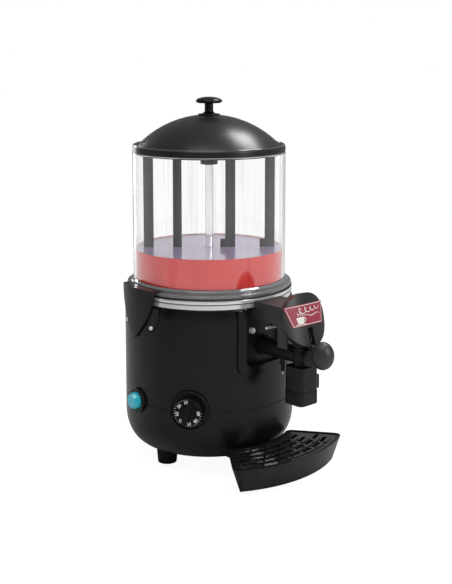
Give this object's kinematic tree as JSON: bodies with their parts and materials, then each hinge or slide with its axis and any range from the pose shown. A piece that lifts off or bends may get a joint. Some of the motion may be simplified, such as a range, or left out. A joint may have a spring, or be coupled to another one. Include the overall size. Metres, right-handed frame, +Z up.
{
  "type": "hot chocolate dispenser machine",
  "caption": "Counter-top hot drink dispenser: clear bowl with stirrer on a heated round base, lever tap, dial, power button and fan-shaped drip tray.",
  "frame": {"origin": "centre of the bounding box, on the table under the feet", "axes": "+Z up, -Y out of the tap at the front, +X to the right when facing the tap"},
  "size_m": [0.2924, 0.419, 0.5785],
  "materials": {
    "black_shell": "gloss",
    "black_trim": "satin",
    "knob_black": "gloss",
    "tray_black": "satin",
    "foot_rubber": "matte",
    "seal_rubber": "matte",
    "steel": "brushed",
    "chrome": "polished",
    "zinc": "galvanised",
    "motor_grey": "satin",
    "brass": "turned",
    "clear_bowl": "clear",
    "drink_red": "glossy",
    "blade_grey": "satin",
    "label_maroon": "satin",
    "white_plastic": "satin",
    "button_teal": "translucent"
  },
  "bodies": {
    "chassis": {"housing_base": "black_shell", "housing_shell": "black_shell", "foot_front": "foot_rubber", "foot_right": "foot_rubber", "foot_back": "foot_rubber", "foot_left": "foot_rubber", "foot_screws": "chrome", "tap_frame": "black_shell", "tap_panel": "black_trim", "trim_screws": "chrome", "clip_left": "black_shell", "clip_right": "black_shell", "water_tank": "steel", "band_heater": "zinc", "motor_bracket": "zinc", "gearbox": "motor_grey", "motor": "motor_grey", "thermostat": "white_plastic", "terminal_block": "white_plastic", "cable_gland": "black_trim", "bowl_seal": "seal_rubber", "bowl": "clear_bowl", "drink_fill": "drink_red", "column_tube": "steel", "column_nut": "steel", "shaft_bushes": "brass", "outlet_pipe": "steel", "outlet_seal": "seal_rubber", "tap_arm": "black_trim", "tap_collar": "black_trim", "valve_body": "black_trim", "valve_cap": "black_trim", "spout_shroud": "black_shell", "shroud_cap": "black_trim", "shroud_tab": "black_trim", "tap_cover": "black_shell", "label_plate": "label_maroon", "pivot_pin": "chrome", "level_tube": "black_trim", "tube_tip": "white_plastic", "dial_bezel": "black_trim", "switch_collar": "black_trim", "switch_body": "black_trim", "tray_rails": "black_trim", "tap_spring": "zinc"},
    "lid": {"lid_dome": "black_shell", "lid_seal": "seal_rubber", "lid_knob": "black_shell"},
    "stirrer": {"drive_shaft": "steel", "stirrer_hub": "black_trim", "stirrer_arms": "black_trim", "stirrer_blades": "blade_grey"},
    "lever": {"lever_arm": "black_trim", "ball_knob": "knob_black"},
    "plunger": {"plunger": "white_plastic"},
    "dial": {"dial_knob": "black_trim", "dial_spindle": "brass"},
    "button": {"power_button": "button_teal"},
    "tray": {"drip_tray": "tray_black"},
    "grille": {"drip_grille": "tray_black"}
  },
  "joints": [
    {"name": "lid_lift", "type": "slide", "parent": "chassis", "child": "lid", "axis": [0, 0, 1], "range_m": [0, 0.12]},
    {"name": "stirrer_spin", "type": "hinge", "parent": "chassis", "child": "stirrer", "pos_m": [0.00416, 0.05949, 0.2], "axis": [0, 0, 1], "continuous": true},
    {"name": "tap_lever", "type": "hinge", "parent": "chassis", "child": "lever", "pos_m": [0.00416, -0.10951, 0.241], "axis": [-1, 0, 0], "range_deg": [0, 16], "stiffness_Nm_per_rad": 1.2, "springref_deg": -17.19},
    {"name": "plunger_slide", "type": "slide", "parent": "chassis", "child": "plunger", "axis": [0, 0, 1], "range_m": [0, 0.01171], "deforming": ["tap_spring"]},
    {"name": "dial_turn", "type": "hinge", "parent": "chassis", "child": "dial", "pos_m": [-0.11365, -0.02674, 0.1086], "axis": [-0.807, -0.5906, 0], "range_deg": [0, 270]},
    {"name": "button_press", "type": "slide", "parent": "chassis", "child": "button", "axis": [0.9945, -0.1045, 0], "range_m": [0, 0.003], "stiffness_N_per_m": 400},
    {"name": "tray_slide", "type": "slide", "parent": "chassis", "child": "tray", "axis": [0, -1, 0], "range_m": [0, 0.03]},
    {"name": "grille_lift", "type": "slide", "parent": "tray", "child": "grille", "axis": [0, 0, 1], "range_m": [0, 0.04]}
  ],
  "couplings": [
    {"joint": "plunger_slide", "follows": "tap_lever", "m_per_rad": 0.041579}
  ]
}
